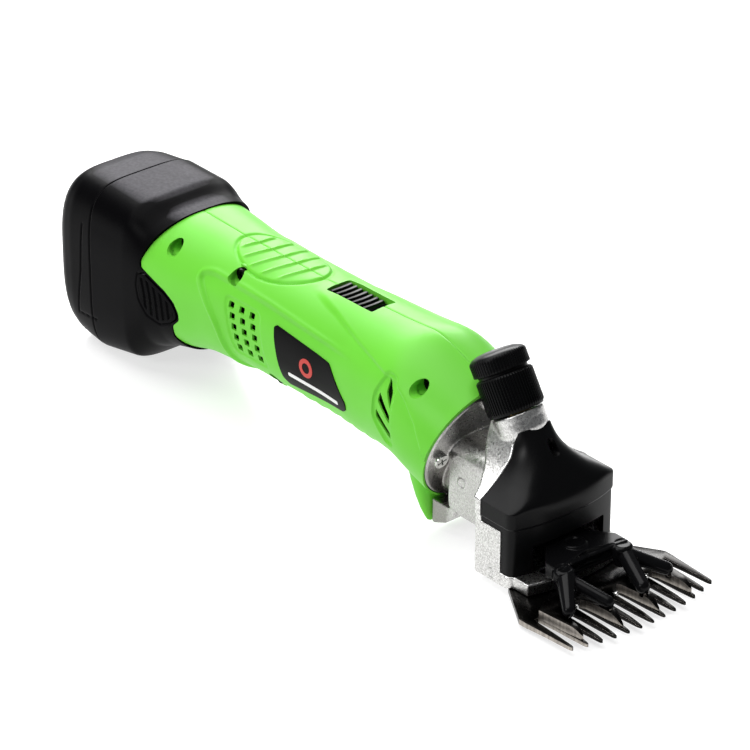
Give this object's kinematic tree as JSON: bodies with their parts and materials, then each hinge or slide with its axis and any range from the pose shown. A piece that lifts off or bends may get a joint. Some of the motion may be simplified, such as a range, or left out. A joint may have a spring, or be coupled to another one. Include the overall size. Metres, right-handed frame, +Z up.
{
  "type": "cordless sheep shears",
  "caption": "Cordless sheep shearing handpiece with a round grip, slide-off battery, cast head, rocking fork, wide comb and cutter.",
  "frame": {"origin": "on the table under the middle of the overall box", "axes": "+X forward to the comb tips, +Y to the tool's left, +Z up"},
  "size_m": [0.345, 0.078, 0.088],
  "materials": {
    "green_plastic": "satin lime green moulded plastic",
    "black_plastic": "satin black moulded plastic",
    "label_black": "satin black printed plate",
    "die_cast": "rough die-cast skin",
    "dark_steel": "hardened and ground, dark",
    "steel": "machined",
    "black_fork": "glossy black on forged steel",
    "zinc_screw": "bright zinc plated",
    "brass": "machined",
    "copper": "copper windings on a dark core",
    "nylon": "natural nylon",
    "cell_wrap": "shrink wrap",
    "board_green": "solder mask",
    "wire_red": "insulated wire",
    "spring_steel": "drawn wire"
  },
  "bodies": {
    "handle": {"handle_shell_right": "green_plastic", "handle_shell_left": "green_plastic", "handle_screws": "steel", "label_plate_right": "label_black", "label_plate_left": "label_black", "switch_body": "black_plastic", "terminal_block": "black_plastic", "wiring": "wire_red", "motor_can": "steel", "motor_end_cap": "black_plastic", "gearbox_plate": "steel", "crank_bearings": "steel", "head_casting": "die_cast", "flange_screws": "zinc_screw", "head_cover": "black_plastic", "fulcrum_post": "steel", "comb": "dark_steel", "comb_screws": "dark_steel"},
    "switch": {"switch_slider": "black_plastic"},
    "rotor": {"motor_armature": "copper", "motor_shaft": "steel", "cooling_fan": "black_plastic", "motor_pinion": "brass"},
    "crank": {"crank_shaft": "steel", "drive_gear": "nylon", "crank_roller": "steel"},
    "fork": {"fork_arm": "black_fork", "fork_foot_right": "black_fork", "fork_foot_left": "black_fork", "cutter": "dark_steel"},
    "pin": {"tension_pin": "steel"},
    "sleeve": {"tension_sleeve": "brass"},
    "knob": {"tension_knob": "black_plastic"},
    "battery": {"battery_case_front": "black_plastic", "battery_case_rear": "black_plastic", "battery_cells": "cell_wrap", "battery_board": "board_green", "battery_terminals": "brass", "release_spring_right": "spring_steel", "release_spring_left": "spring_steel"},
    "release_right": {"release_button_right": "black_plastic"},
    "release_left": {"release_button_left": "black_plastic"}
  },
  "joints": [
    {"name": "switch_slide", "type": "slide", "parent": "handle", "child": "switch", "axis": [1, 0, 0], "range_m": [0, 0.004]},
    {"name": "rotor_spin", "type": "hinge", "parent": "handle", "child": "rotor", "pos_m": [0, 0, 0.0485], "axis": [1, 0, 0], "continuous": true},
    {"name": "crank_spin", "type": "hinge", "parent": "handle", "child": "crank", "pos_m": [0.06, 0, 0.033], "axis": [1, 0, 0], "continuous": true},
    {"name": "fork_swing", "type": "hinge", "parent": "handle", "child": "fork", "pos_m": [0.0915, 0, 0.03], "axis": [0, 0, 1], "range_deg": [-4.51, 9.09]},
    {"name": "sleeve_lift", "type": "slide", "parent": "handle", "child": "sleeve", "axis": [-0.5329, 0, 0.8462], "range_m": [0, 0.0025]},
    {"name": "knob_turn", "type": "hinge", "parent": "sleeve", "child": "knob", "pos_m": [0.0931, 0, 0.0621], "axis": [-0.5329, 0, 0.8462], "range_deg": [0, 750]},
    {"name": "pin_rock", "type": "hinge", "parent": "sleeve", "child": "pin", "pos_m": [0.09896, 0, 0.05279], "axis": [0.8462, 0, 0.5329], "range_deg": [-3.6, 7]},
    {"name": "battery_slide", "type": "slide", "parent": "handle", "child": "battery", "axis": [-1, 0, 0], "range_m": [0, 0.06]},
    {"name": "release_right_press", "type": "slide", "parent": "battery", "child": "release_right", "axis": [0, 1, 0], "range_m": [0, 0.003], "stiffness_N_per_m": 300, "springref_m": -0.0008, "deforming": ["release_spring_right"]},
    {"name": "release_left_press", "type": "slide", "parent": "battery", "child": "release_left", "axis": [0, -1, 0], "range_m": [0, 0.003], "stiffness_N_per_m": 300, "springref_m": -0.0008, "deforming": ["release_spring_left"]}
  ],
  "couplings": [
    {"joint": "crank_spin", "follows": "rotor_spin", "ratio": -0.40909},
    {"joint": "knob_turn", "follows": "sleeve_lift", "rad_per_m": 5026.5},
    {"joint": "pin_rock", "follows": "fork_swing", "ratio": 0.7478}
  ]
}
